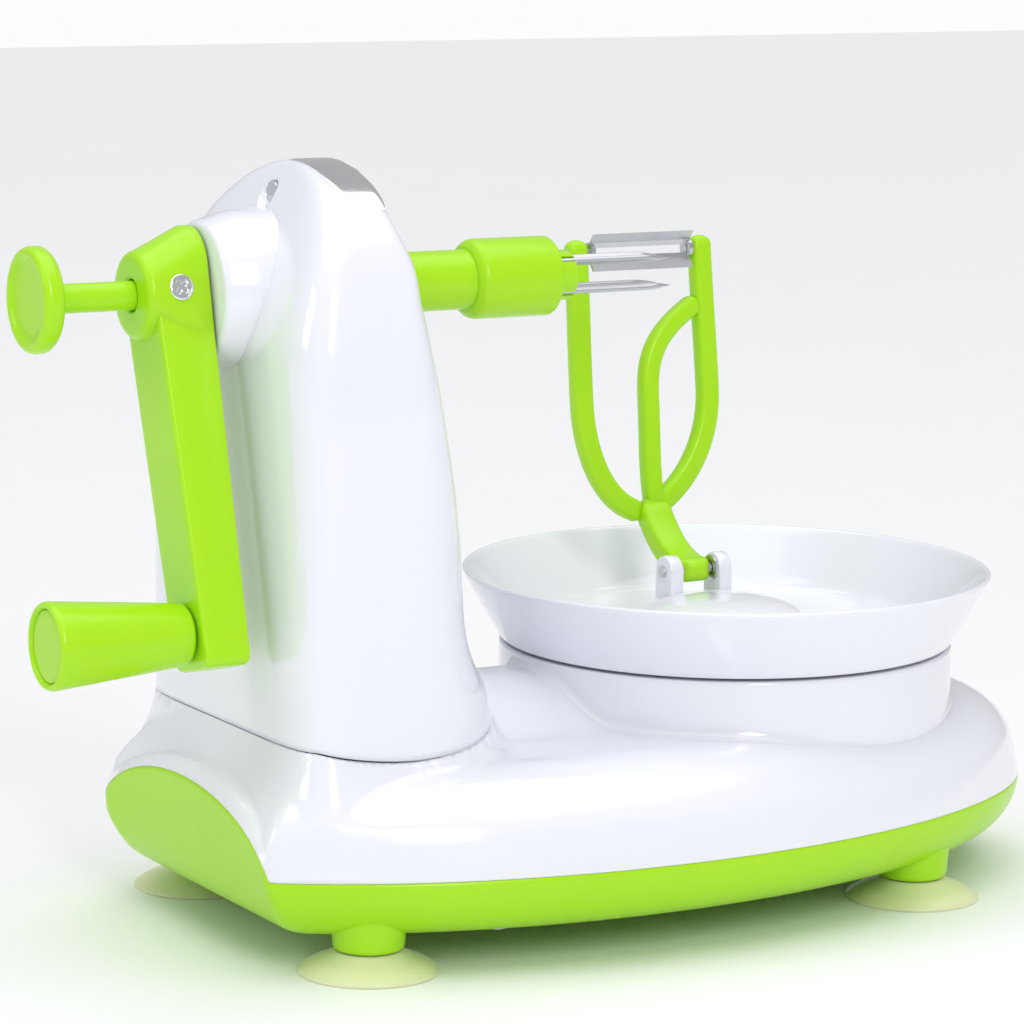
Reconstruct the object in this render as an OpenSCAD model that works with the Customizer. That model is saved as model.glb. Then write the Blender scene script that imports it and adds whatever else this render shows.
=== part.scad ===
// Hand-cranked apple peeler on four suction feet.
// +X runs along the spindle from the crank to the fork, +Y is the far side from the
// crank handle's throw, +Z is up, and Z = 0 is the table under the suction cups.

/* [Base] */
// Half length of the base outline
base_a = 137; // [134:0.5:140]
// Half width of the base outline
base_b = 77.6; // [76:0.2:80]
// Height of the seam between the green pan and the white shell
parting_z = 25; // [24:0.5:26]
// Rise of the arch in the pan's end wall
arch_h = 17; // [14:0.5:18]
// Wall of the moulded skins
wall = 2.4; // [2:0.1:2.6]

/* [Tower] */
// Height of the tower's crest
crest_z = 193.5; // [192:0.5:195]
// Half width of the tower
tower_w = 49; // [48:0.5:50]

/* [Spindle] */
// Height of the spindle axis
spindle_z = 162; // [161:0.5:163]
// Outer radius of the spindle tube
spindle_r = 7.6; // [7.5:0.05:7.65]
// Push rod radius
rod_r = 3.6; // [3.5:0.05:3.6]
// Travel of the push rod
eject_travel = 18; // [12:1:18]

/* [Crank] */
// Throw of the crank, from the spindle axis to the grip axis
crank_throw = 83; // [78:1:84]
// Angle of the hanging crank from straight down, in degrees
crank_swing = 14.6; // [0:0.2:20]

/* [Bowl and arm] */
// Distance of the bowl axis from the middle of the part
bowl_x = 59; // [58:0.5:60]
// Radius of the bowl's rim
bowl_r = 70; // [68:0.5:71]
// Height of the collar under the bowl
collar_z = 63; // [62:0.5:63]

/* [Gears] */
// Tooth module of the worm and its wheel
worm_m = 1.25; // [1.2:0.05:1.25]
// Tooth module of the spur gears
gear_m = 1.5; // [1.4:0.05:1.5]
// Play between two meshing flanks
backlash = 0.3; // [0.2:0.02:0.4]

/* [Hidden] */
$fn = 64;

lime = [0.66, 0.9, 0.13];
pearl = [0.94, 0.95, 0.98];
olive = [0.78, 0.8, 0.6, 0.8];
steel = [0.75, 0.76, 0.78];
nylon = [0.9, 0.88, 0.8];

// Base outline
base_x = 8;
end_x = -100;
pan_z = 9;
arch_w = 48;
shoulder_h = 23.5;
shoulder_d = 26;
outline_n = 64;
skin_fn = 36;
// Feet
foot_dx = 80;
foot_y = 48;
cup_r = 17.5;
// Tower foot and body
foot_x = -60;
foot_front = -24.5;
seam_low = 50;
back_x = -89;
// Spindle layout along X
head_back = -96;
head_front = -113;
collar_start = -21;
collar_end = 3;
collar_r = 10.2;
pocket_start = -20;
spring_start = -74;
// Worm drive
worm_x = -67.5;
worm_pitch_r = 11;
wheel_teeth = 18;
wheel_pitch_r = worm_m * wheel_teeth / 2;
// A thread crosses the wheel's side a quarter pitch short of worm_x, so a tooth sits a quarter pitch past it
wheel_turn = -90 + 90 / wheel_teeth;
shaft_y = worm_pitch_r + wheel_pitch_r;
// Spur train: pinion under the wheel, idler, and the gear on the arm's post
pinion_teeth = 16;
idler_teeth = 62;
arm_teeth = 32;
gear_z = 29;
gear_h = 7;
mesh_gap = 0.1;
pinion_c = [worm_x, shaft_y];
arm_c = [bowl_x, 0];
reach_1 = gear_m * (pinion_teeth + idler_teeth) / 2 + mesh_gap;
reach_2 = gear_m * (idler_teeth + arm_teeth) / 2 + mesh_gap;
span = norm(arm_c - pinion_c);
along = (reach_1 * reach_1 - reach_2 * reach_2 + span * span) / (2 * span);
aside = sqrt(reach_1 * reach_1 - along * along);
train_u = (arm_c - pinion_c) / span;
idler_c = pinion_c + along * train_u + aside * [train_u[1], -train_u[0]];
// Arm
hinge_y = 16;
hinge_z = 79;
blade_z = 162;
blade_y = 47.4;

// ---- Shape helpers ----

function clamp01(t) = max(0, min(1, t));
function smooth(t) = let (u = clamp01(t)) u * u * (3 - 2 * u);
function quarter(t) = sqrt(1 - pow(1 - clamp01(t), 2));
function soft_max(a, b, k) = max(a, b) + k * ln(1 + exp(-abs(a - b) / k));
function mix(a, b, t) = a + (b - a) * t;

// Closed skin through rings with the same number of points, zipped shut at both ends
module skin(rings) {
    n = len(rings[0]);
    last = len(rings) - 1;
    walls = [for (i = [0:last - 1]) for (j = [0:n - 1])
        let (a = i * n + j, b = i * n + (j + 1) % n, c = b + n, d = a + n) each [[a, c, b], [a, d, c]]];
    first_cap = [for (j = [0:n / 2 - 1]) let (a = j, b = j + 1, c = n - j - 1, d = (n - j) % n)
        each [if (a != d) [a, b, d], if (b != c) [b, c, d]]];
    top = last * n;
    last_cap = [for (j = [0:n / 2 - 1]) let (a = j, b = j + 1, c = n - j - 1, d = (n - j) % n)
        each [if (a != d) [top + a, top + d, top + b], if (b != c) [top + b, top + d, top + c]]];
    polyhedron([for (r = rings) each r], concat(walls, first_cap, last_cap), convexity = 8);
}

// One moulded skin: its walls, posts and bosses are fused as a single faceted solid
module moulded() resize([0, 0, 0]) children();

// A solid of revolution about the spindle, from [x, radius] points
module turned(points) translate([0, 0, spindle_z]) rotate([0, 90, 0]) rotate_extrude()
    polygon([for (p = points) [p[1], p[0]]]);

module rod_x(x0, x1, r, y = 0, z = spindle_z) translate([x0, y, z]) rotate([0, 90, 0])
    cylinder(h = x1 - x0, r = r);

module post(p, z0, z1, r) translate([p[0], p[1], z0]) cylinder(h = z1 - z0, r = r);

// ---- Base ----

// Point of the base outline at angle t, moved in by inset; the crank end is cut straight
function plan_point(t, inset) = [
    soft_max(base_x + (base_a - inset) * cos(t), end_x + inset, 1.2), (base_b - inset) * sin(t)];
function near_end(x, inset) = 1 - smooth((x - end_x - inset) / 7);
function arch(y) = arch_h * pow(max(0, 1 - pow(y / arch_w, 2)), 0.6);
function rim_z(p, inset) = parting_z + arch(p[1]) * near_end(p[0], inset);

function seam_z(x) = seam_low + 4.5 * pow(clamp01((foot_x - x) / 25), 1.5)
    + 9 * pow(max(0, (x - foot_x) / (foot_front - foot_x)), 2);
// How far a point lies out of the tower's foot: 1 on its outline, boxy at the back and round in front
function foot_q(p) = let (
    d = p[0] - foot_x, n = d < 0 ? 7 : 2.5, r = d < 0 ? foot_x - back_x : foot_front - foot_x)
    pow(pow(abs(d) / r, n) + pow(abs(p[1]) / tower_w, n), 1 / n);
function foot_gap(p) = norm([p[0] - foot_x, p[1]]) * max(0, 1 - 1 / max(1, foot_q(p)));
function skirt_z(p) = parting_z + (seam_z(min(p[0], foot_front)) - parting_z) * exp(-foot_gap(p) / 8);
function ridge_z(p) = parting_z + 35.5 * smooth((p[0] + 62) / 30) * (1 - smooth((p[0] - bowl_x) / 40))
    * exp(-pow(abs(p[1]) / 40, 2.4));
function side_z(inset) = parting_z
    + shoulder_h * pow(1 - pow(1 - clamp01(inset / shoulder_d), 2.2), 1 / 2.2);
function lip_z(p, inset) = parting_z
    + (arch(p[1]) + 3.5 * quarter(inset / 4)) * (1 - smooth((p[0] - end_x) / 40));
// Height of the white shell's outside over a point that lies inset from the rim
function shell_z(p, inset) = let (
    h = soft_max(soft_max(max(side_z(inset), lip_z(p, inset)), skirt_z(p), 2.2), ridge_z(p), 2.2),
    r = rim_z(p, inset)) r + (h - r) * quarter(inset / 3);

function plan_ring(inset, step) = [for (j = [0:outline_n - 1]) plan_point(360 * j / outline_n, inset)];
function pan_ring(inset, z, follow) = [for (p = plan_ring(inset))
    [p[0], p[1], z + follow * arch(p[1]) * near_end(p[0], inset)]];
function shell_ring(inset) = [for (p = plan_ring(inset)) [p[0], p[1], shell_z(p, inset)]];
function ceiling_ring(inset) = [for (j = [0:outline_n - 1]) let (
    a = plan_point(360 * j / outline_n, inset), p = plan_point(360 * j / outline_n, inset + wall))
    [p[0], p[1], shell_z(a, inset) - wall]];

// Rings up the pan's outside, each [inset, height, how much of the arch it follows]
pan_sides = [[70, pan_z, 0], [17, pan_z, 0], [12, pan_z + 0.5, 0], [8, 11.5, 0], [4.5, 14.5, 0.2],
    [2, 18, 0.5], [0, parting_z - 0.15, 1]];

post_spots = [[-40, 54], [-40, -54], [110, 30], [110, -30]];
// How deep the screw heads sit in the pan
head_sink = 1.2;
foot_spots = [for (sx = [-1, 1]) for (sy = [-1, 1]) [base_x + sx * foot_dx, sy * foot_y]];

module base_pan() color(lime) {
    $fn = skin_fn;
    moulded() difference() {
        union() {
            skin(concat(
                [for (r = pan_sides) pan_ring(r[0], r[1], r[2])],
                [for (i = [6:-1:0]) let (r = pan_sides[i])
                    pan_ring(r[0] + (i > 0 ? wall : -2), max(r[1], pan_z + wall), r[2])]));
            for (p = foot_spots) post(p, 5.6, pan_z + 6, 9);
        }
        for (p = foot_spots) post(p, 0, pan_z + 12, 3.6);
        for (p = foot_spots) post(p, pan_z + 3.2, pan_z + 12, 6);
        for (p = post_spots) post(p, 0, 30, 1.8);
        for (p = post_spots) post(p, 0, pan_z + head_sink, 3.3);
    }
}

// Outside radius of the round collar under the bowl
collar_r_out = 60;
// Rings over the shell, by how far in from the rim they lie
shell_insets = [0.8, 2, 4, 8, 13, 19, 26, 36, 48, 60, 72];
module base_shell() color(pearl) {
    $fn = skin_fn;
    moulded() difference() {
        union() {
            difference() {
                skin(concat(
                    [for (i = [10:-1:0]) ceiling_ring(shell_insets[i])],
                    [pan_ring(wall, parting_z, 1), pan_ring(0, parting_z, 1)],
                    [for (d = shell_insets) shell_ring(d)]));
                post([bowl_x, 0], 20, 90, collar_r_out - wall, $fn = 96);
            }
            difference() {
                post([bowl_x, 0], 40, collar_z, collar_r_out, $fn = 96);
                post([bowl_x, 0], 30, collar_z - wall, collar_r_out - wall + 0.05, $fn = 96);
            }
            for (p = post_spots) post(p, pan_z + wall + 0.1, 45.5, 4);
            post([bowl_x, 0], 50, collar_z - 1, 11);
        }
        for (p = post_spots) post(p, 0, 32, 1.35);
        post([bowl_x, 0], 40, 70, 8.1);
        translate([worm_x - 15, -20, 40]) cube([33, 60, 30]);
        for (p = tower_posts) post(p, 30, 60, 1.8);
    }
}

module base_screws() color(steel) for (p = post_spots) {
    post(p, pan_z - 0.4, pan_z + head_sink - 0.05, 3);
    post(p, pan_z, 27, 1.3);
}

// Suction cup: a flared bell with a flat rim, a neck and a button that snaps into the pan
module suction_cup(p) color(olive) translate([p[0], p[1], 0]) rotate_extrude() polygon([
    [0, 2.6], [5, 2.4], [10, 1.6], [15.2, 0], [cup_r, 0], [cup_r, 0.7], [14.5, 2.6], [10.5, 4.1],
    [8.2, 5.5], [3.5, 5.5], [3.5, pan_z + 3.3], [5.4, pan_z + 3.3], [4.6, pan_z + 5], [0, pan_z + 5]]);

// ---- Tower ----

tower_posts = [[-70, -39], [-43, -32], [-43, 32]];

function tower_half(z) = z < 100 ? tower_w
    : tower_w * sqrt(max(0, 1 - pow((z - 100) / (crest_z - 100), 4)));
function tower_back(z) = back_x + 19 * pow(clamp01((z - 150) / 43.5), 1.5);
front_line = [[45, -23.8], [52, -24], [60, -25.8], [70, -30.4], [80, -33.6], [90, -34.8], [100, -35.5],
    [115, -37.6], [130, -41.2], [145, -45], [160, -49.4], [170, -52.6], [178, -56], [185, -57.4],
    [200, -57.6]];
function tower_front(z) = lookup(z, front_line);
function tower_point(t, z, t_in) = let (
    c = cos(t), s = sin(t), box = smooth((z - 160) / 22), w = tower_half(z) - t_in,
    m = foot_x - 3.5 * box, n = c < 0 ? 7 : mix(2.5, 6, box), e = 2 / n,
    lim = c < 0 ? tower_back(z) + t_in : tower_front(z) - t_in)
    [m + (lim - m) * pow(abs(c), e), w * sign(s) * pow(abs(s), e)];
tower_n = 56;
function tower_ring(z, t_in) = [for (j = [0:tower_n - 1]) let (p = tower_point(360 * j / tower_n, z, t_in))
    [p[0], p[1], z]];
// The lowest ring follows the top of the base shell
function seam_ring(t_in, lift) = [for (j = [0:tower_n - 1]) let (p = tower_point(360 * j / tower_n, 50, t_in))
    [p[0], p[1], shell_z(p, 40) + lift]];
tower_levels = [70, 85, 100, 115, 130, 145, 155, 163, 170, 176, 181, 185, 188.5, 191, 192.6, 193.3];
module tower_shell() color(pearl) {
    $fn = skin_fn;
    moulded() difference() {
        union() {
            difference() {
                union() {
                    skin(concat(
                        [for (i = [12:-1:0]) tower_ring(tower_levels[i], wall + 0.2)],
                        [seam_ring(wall + 0.2, 0.25), seam_ring(0, 0.25)],
                        [for (z = tower_levels) tower_ring(z, 0)]));
                    turned([[-72.6, 0], [-72.6, 20.4], [-86, 20], [-94.6, 17.6], [-95.4, 16.6], [-95.4, 0]]);
                    turned([[-60, 0], [-60, 15.5], [-50, 15.5], [-45, 12.6], [-41.4, 11], [-40.2, 10.4],
                        [-40.2, 0]]);
                }
                rod_x(-83.9, -46.6, 13.2);
                post(pinion_c, spindle_z - 4, spindle_z + 4, wheel_pitch_r + 2);
            }
            for (p = tower_posts) {
                post(p, shell_z(p, 40) + 0.8, 72, 4);
                reach = p[0] < foot_x ? 47.5 : 42.6;
                translate([p[0] - 1, p[1] < 0 ? -reach : p[1], 57]) cube([2, reach - abs(p[1]), 14]);
            }
        }
        rod_x(-100, -30, 9.6);
        for (p = tower_posts) post(p, 40, 70, 1.3);
        rod_x(-90, -60, 1.7, 2, 185.5);
        rod_x(-90, -72.4, 3.1, 2, 185.5);
    }
}

module tower_screws() color(steel) for (p = tower_posts) {
    seat = shell_z(p, 40) - wall - 1.2;
    post(p, seat - 1.8, seat, 3);
    post(p, seat - 0.4, 66, 1.25);
}

// Bright trim laid over the crest, from the top down the near shoulder
module crest_strip() color(steel) translate([-69.2, 0, 0]) rotate([90, 0, 90]) linear_extrude(11.2)
    polygon(concat(
        [for (y = [4:-2:-30]) [y, crest_top(y) + 0.35]],
        [for (y = [-30:2:4]) [y, crest_top(y) + 0.1]]));
function crest_top(y) = 100 + (crest_z - 100) * pow(max(0, 1 - pow(y / tower_w, 2)), 0.25);

module crest_screw() color(steel) {
    rod_x(-73.9, -72.5, 2.9, 2, 185.5);
    rod_x(-73, -62.5, 1.4, 2, 185.5);
}

module bush(x0, x1, xf0, xf1) color(nylon) turned([
    [x0, spindle_r + 0.05], [x1, spindle_r + 0.05], [x1, 9.5], [xf1, 9.5], [xf1, 11.5], [xf0, 11.5],
    [xf0, 9.5], [x0, 9.5]]);
module rear_bush() bush(-95.4, -82, -83.9, -82);
module front_bush() bush(-48.4, -40.2, -48.4, -46.6);

// ---- Spindle ----

module spindle() color(lime) difference() {
    turned([
        [head_front + 4, rod_r + 0.08], [-76, rod_r + 0.08], [-76, 5.5], [pocket_start, 5.5],
        [pocket_start, 6.48], [collar_end, 6.48], [collar_end, collar_r - 0.6], [collar_end - 0.6, collar_r],
        [collar_start + 1.6, collar_r], [collar_start, spindle_r + 0.6], [collar_start, spindle_r],
        [head_back + 0.1, spindle_r], [head_back + 0.1, 6], [head_front + 4, 6]]);
    rotate_crank() translate([-104, 0, 0]) rotate([90, 0, 0]) cylinder(h = 20, r = 1.3, $fn = 24);
}

// Worm: a sleeve with one right-hand thread
worm_len = 23;
worm_pitch = PI * worm_m;
thread_turns = 5;
thread_steps = 24;
module worm() color(nylon) moulded() difference() {
    $fn = skin_fn;
    union() {
        rod_x(worm_x - worm_len / 2, worm_x + worm_len / 2, worm_pitch_r - 1.5);
        worm_thread();
    }
    rod_x(worm_x - 20, worm_x + 20, spindle_r + 0.05);
}
thread_profile = [[-1.35, -1.9], [1.35, -1.9], [0.42, 1.2], [-0.42, 1.2]];
module worm_thread() {
    count = thread_turns * thread_steps;
    start = worm_x - worm_pitch * thread_turns / 2;
    points = [for (i = [0:count]) let (a = 360 * i / thread_steps, x = start + worm_pitch * i / thread_steps)
        for (p = thread_profile) let (r = worm_pitch_r + p[1])
            [x + p[0], r * sin(a), spindle_z - r * cos(a)]];
    sides = [for (i = [0:count - 1]) for (j = [0:3])
        let (a = 4 * i + j, b = 4 * i + (j + 1) % 4, c = b + 4, d = a + 4) each [[a, c, b], [a, d, c]]];
    tail = 4 * count;
    caps = [[1, 2, 3], [0, 1, 3], [tail + 2, tail + 1, tail], [tail + 3, tail + 2, tail]];
    polyhedron(points, concat(sides, caps), convexity = 10);
}

// Four steel prongs on a disc at the bottom of the spindle's pocket
module fork_prongs() color(steel) {
    turned([[pocket_start, rod_r + 0.3], [pocket_start + 2, rod_r + 0.3], [pocket_start + 2, 6.4],
        [pocket_start, 6.4]]);
    for (a = [45:90:315]) translate([0, 0, spindle_z]) rotate([a, 0, 0])
        translate([pocket_start + 1, 0, 4.1]) rotate([90, 0, 0]) linear_extrude(1.2, center = true)
            polygon([[0, 0], [50, 0], [57, 1], [51, 2], [0, 2]]);
}

// ---- Crank ----

module rotate_crank() translate([0, 0, spindle_z]) rotate([-crank_swing, 0, 0]) children();

module crank_arm() color(lime) rotate_crank() difference() {
    union() {
        hull() {
            translate([head_front, 0, 0]) rotate([0, 90, 0]) cylinder(h = 2, r = 11, $fn = 48);
            translate([-99, 0, 6]) rotate([0, 90, 0]) cylinder(h = 3, r = 10.6, $fn = 48);
            translate([-99, 0, -10]) rotate([0, 90, 0]) cylinder(h = 3, r = 9.6, $fn = 48);
        }
        translate([0, 9.5, 0]) rotate([90, 0, 0]) linear_extrude(19)
            polygon([[-110.6, -6], [-96, -6], [-95.8, -92], [-106.4, -92], [-107.5, -90.5]]);
    }
    translate([head_front - 1, 0, 0]) rotate([0, 90, 0]) cylinder(h = 20, r = rod_r + 0.5);
    translate([head_front + 3.8, 0, 0]) rotate([0, 90, 0]) cylinder(h = 20, r = 6.05);
    translate([-104, 0, 0]) rotate([90, 0, 0]) cylinder(h = 20, r = 1.7, $fn = 24);
    translate([-104, -8.3, 0]) rotate([90, 0, 0]) cylinder(h = 20, r = 3.3);
    translate([-120, 0, -crank_throw]) rotate([0, 90, 0]) cylinder(h = 20, r = 2.55);
}

module crank_screw() color(steel) rotate_crank() translate([-104, 0, 0]) rotate([90, 0, 0]) {
    translate([0, 0, 8.35]) cylinder(h = 1.5, r = 3.2);
    translate([0, 0, 4.2]) cylinder(h = 4.3, r = 1.25, $fn = 24);
}

module grip_pin() color(steel) rotate_crank() translate([0, 0, -crank_throw]) {
    translate([-139, 0, 0]) rotate([0, 90, 0]) cylinder(h = 39, r = 2.5);
    translate([-141, 0, 0]) rotate([0, 90, 0]) cylinder(h = 2, r = 4);
}

module crank_grip() color(lime) rotate_crank() translate([0, 0, -crank_throw]) rotate([0, 90, 0])
    rotate_extrude() polygon([
        [2.57, -138.8], [4.5, -138.8], [4.5, -143.4], [8.9, -143.4], [8.9, -144.4], [9.6, -145],
        [10.3, -144.8], [10.85, -143.8], [7.65, -109.2], [6.9, -108.5], [2.57, -108.5]]);

module grip_cap() color(lime) rotate_crank() translate([-144.4, 0, -crank_throw]) rotate([0, 90, 0])
    cylinder(h = 1, r = 8.8);

// ---- Ejector ----

module push_knob() color(lime) turned([
    [-139.2, 0], [-139.2, 8], [-140.5, 10.5], [-140.5, 12], [-139.6, 13], [-136.2, 13], [-134.6, 11.5],
    [-134, 6], [-133, rod_r + 0.6], [-133, 0]]);

module push_rod() color(lime) {
    turned([[-133, 0], [-133, rod_r], [-75.9, rod_r], [-75.9, 5.3], [spring_start, 5.3],
        [spring_start, rod_r], [-17.8, rod_r], [-17.8, 2.5], [-6, 2.5], [-6, 0]]);
}

spring_wire = 0.5;
spring_turns = 9;
module eject_spring() color(steel) moulded() {
    n = 12;
    length = pocket_start - spring_start - 2 * spring_wire - 0.2;
    count = spring_turns * n;
    first = spring_start + spring_wire + 0.1;
    points = [for (i = [0:count]) let (a = 360 * i / n, x = first + length * i / count) for (k = [0:5])
        let (r = 4.7 + spring_wire * cos(60 * k))
        [x + spring_wire * sin(60 * k), r * sin(a), spindle_z - r * cos(a)]];
    sides = [for (i = [0:count - 1]) for (j = [0:5])
        let (a = 6 * i + j, b = 6 * i + (j + 1) % 6, c = b + 6, d = a + 6) each [[a, c, b], [a, d, c]]];
    caps = [[for (j = [0:5]) j], [for (j = [5:-1:0]) 6 * count + j]];
    polyhedron(points, concat(sides, caps), convexity = 10);
}

// Slotted head that the prongs slide through
module ejector_head() color(lime) difference() {
    turned([[-17.6, 2.55], [-6, 2.55], [-6, 0], [9.2, 0], [9.2, 5.9], [8.7, 6.4], [-17.6, 6.4]]);
    for (a = [45:90:315]) translate([0, 0, spindle_z]) rotate([a, 0, 0]) translate([-19, -0.9, 3.8])
        cube([30, 1.8, 5]);
}

// ---- Gear train ----

function inv(a) = tan(a) * 180 / PI - a;
// Half angle of a tooth at radius r, thinned by half the backlash
function tooth_half(r, n, m) = let (rp = m * n / 2, rb = rp * cos(20), a = acos(min(1, rb / max(r, rb))))
    90 / n + inv(20) - inv(a) - backlash / 2 / rp * 90 / PI;
module gear_2d(n, m, turn) {
    rp = m * n / 2;
    root = rp - 1.25 * m;
    radii = [root, mix(root, rp, 0.5), rp, rp + m * 0.5, rp + m * 0.95];
    polygon([for (k = [0:n - 1]) let (c = turn + 360 * k / n) each concat(
        [for (r = radii) let (a = c - tooth_half(r, n, m)) r * [cos(a), sin(a)]],
        [for (i = [4:-1:0]) let (r = radii[i], a = c + tooth_half(r, n, m)) r * [cos(a), sin(a)]])]);
}
module spur(c, z, h, n, m, turn, bore) translate([c[0], c[1], z]) difference() {
    linear_extrude(h) gear_2d(n, m, turn);
    translate([0, 0, -1]) cylinder(h = h + 2, r = bore);
}
// Turn that puts a gap of the second gear on a tooth of the first
function meshed(c1, n1, turn1, c2, n2) = let (
    line = atan2(c2[1] - c1[1], c2[0] - c1[0]), f = (line - turn1) * n1 / 360)
    line + 180 - (0.5 - f) * 360 / n2;
pinion_turn = 0;
idler_turn = meshed(pinion_c, pinion_teeth, pinion_turn, idler_c, idler_teeth);
arm_turn = meshed(idler_c, idler_teeth, idler_turn, arm_c, arm_teeth);

deck_z = pan_z + wall + 0.05;
module gear_deck() color(nylon) difference() {
    union() {
        translate([0, 0, deck_z]) linear_extrude(3) hull() {
            translate(pinion_c) circle(12);
            translate(idler_c) circle(15);
            translate(arm_c) circle(24);
        }
        post(pinion_c, deck_z, gear_z - 0.4, 6);
        post(idler_c, deck_z, gear_z - 0.4, 7);
        post(arm_c, deck_z, gear_z - 0.4, 11);
    }
    post(pinion_c, deck_z + 1.5, 40, 3.06);
    post(idler_c, deck_z - 1, 40, 3);
    post(arm_c, deck_z + 1.5, 40, 6.06);
    for (p = deck_spots) post(p, 0, 30, 1.3);
}
deck_spots = [[-50, 20], [24, 0], [76, 0]];
module deck_screws() color(steel) for (p = deck_spots) {
    post(p, deck_z + 3.05, deck_z + 4.8, 2.6);
    post(p, deck_z + 0.2, deck_z + 3.4, 1.25);
}

module top_bracket() color(nylon) difference() {
    union() {
        translate([-72, -22, 176]) cube([11.4, 49, 2.5]);
        post(pinion_c, 168.5, 177, 5);
        translate([-68.4, -2, 178]) cube([6.4, 8, 10]);
    }
    post(pinion_c, 160, 176.5, 3.06);
    rod_x(-80, -62.4, 1.45, 2, 185.5);
}

module layshaft() color(steel) post(pinion_c, deck_z + 1.6, 176.3, 3);

module worm_wheel() color(nylon) difference() {
    union() {
        spur(pinion_c, spindle_z - 3, 6, wheel_teeth, worm_m, wheel_turn, 3.02);
        post(pinion_c, spindle_z - 8, spindle_z + 5.5, 5);
    }
    post(pinion_c, 140, 180, 3.02);
}
module drive_pinion() color(nylon) difference() {
    union() {
        spur(pinion_c, gear_z, gear_h, pinion_teeth, gear_m, pinion_turn, 3.02);
        post(pinion_c, gear_z + gear_h - 0.1, gear_z + gear_h + 5, 7);
    }
    post(pinion_c, 20, 60, 3.02);
}
module idler_pin() color(steel) {
    post(idler_c, deck_z, gear_z + gear_h + 1.2, 2.98);
    post(idler_c, gear_z + gear_h + 1.2, gear_z + gear_h + 2.4, 4.6);
}
module idler_gear() color(nylon) difference() {
    spur(idler_c, gear_z, gear_h, idler_teeth, gear_m, idler_turn, 3.06);
    for (a = [0:60:300]) post(idler_c + 26 * [cos(a), sin(a)], 20, 50, 9);
}
module arm_gear() color(nylon) difference() {
    union() {
        spur(arm_c, gear_z, gear_h, arm_teeth, gear_m, arm_turn, 6.02);
        post(arm_c, gear_z + gear_h - 0.1, gear_z + gear_h + 6, 11);
    }
    post(arm_c, 20, 60, 6.02);
}
module arm_post() color(steel) post(arm_c, deck_z + 1.6, 70.5, 6);
module post_bush() color(nylon) difference() {
    union() {
        post(arm_c, 49, collar_z, 8);
        post(arm_c, 47.6, 49.9, 10);
    }
    post(arm_c, 40, 70, 6.06);
}

// ---- Bowl ----

module peel_bowl() color(pearl) translate([bowl_x, 0, 0]) rotate_extrude($fn = 128) polygon([
    [13, 65.6], [13, 68.4], [15, 68.4], [15.4, 66.4], [57.4, 66.2], [58.6, 67], [67.6, 81.4], [68.4, 82.3],
    [69.6, 82.5], [bowl_r, 81.8], [bowl_r - 0.1, 81], [60, 64.2], [59.2, 63.55], [56, 63.55], [55.6, 64.2],
    [54, 64.2], [54, collar_z + 0.04], [50, collar_z + 0.04], [50, 64.2], [13.4, 64.2]]);

// ---- Peeler arm ----

module arm_hub() color(pearl) difference() {
    union() {
        translate([bowl_x, 0, 0]) rotate_extrude() polygon([
            [0, 66.6], [9, 66.6], [9, 70.6], [18, 70.6], [18, 68.8], [21, 68.8], [21.4, 69.6], [19.5, 71.8],
            [15, 73.4], [9, 74.4], [0, 74.8]]);
        for (s = [-1, 1]) translate([bowl_x + s * 7.6, hinge_y, 0]) rotate([90, 0, 90]) {
            translate([0, hinge_z, -2]) cylinder(h = 4, r = 4.2);
            translate([-4.2, 71.5, -2]) cube([8.4, hinge_z - 71.5, 4]);
        }
    }
    post(arm_c, 60, 70.6, 6.02);
    rod_x(40, 80, 1.55, hinge_y, hinge_z);
}
module arm_pin() color(steel) rod_x(bowl_x - 10.4, bowl_x + 10.4, 1.5, hinge_y, hinge_z);

module arm_spring() color(steel) difference() {
    rod_x(bowl_x + 4.9, bowl_x + 5.5, 3.4, hinge_y, hinge_z);
    rod_x(bowl_x + 4, bowl_x + 7, 1.9, hinge_y, hinge_z);
}

// The head lies in a plane that leans out from the hub; u runs along X from the bowl axis and v up the head
lean = 7;
module in_head() translate([bowl_x, 38.5, 88]) rotate([90 - lean, 0, 0]) children();
function bezier(a, b, c, d, t) = let (s = 1 - t)
    s * s * s * a + 3 * s * s * t * b + 3 * s * t * t * c + t * t * t * d;
function band(path, w) = let (n = len(path) - 1) concat(
    [for (i = [0:n]) path[i] + w / 2 * side_of(path, i)],
    [for (i = [n:-1:0]) path[i] - w / 2 * side_of(path, i)]);
function side_of(path, i) = let (n = len(path) - 1, d = path[min(n, i + 1)] - path[max(0, i - 1)])
    [-d[1], d[0]] / norm(d);
function curve(a, b, c, d, first = 0) = [for (i = [first:12]) bezier(a, b, c, d, i / 12)];
left_bar = concat(curve([-3, 3.5], [-13, 5], [-20, 18], [-20, 34]),
    curve([-20, 34], [-20, 48], [-19.5, 58], [-19.5, 78], 1));
right_bar = concat(curve([-3, 3.5], [7, 5], [20, 18], [20, 36]),
    curve([20, 36], [20, 50], [19.5, 60], [19.5, 78], 1));
middle_bar = concat(curve([1.5, 4], [0, 14], [1, 22], [1, 34]),
    curve([1, 34], [1, 46], [4, 52], [18, 60], 1));
head_t = 5;

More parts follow.
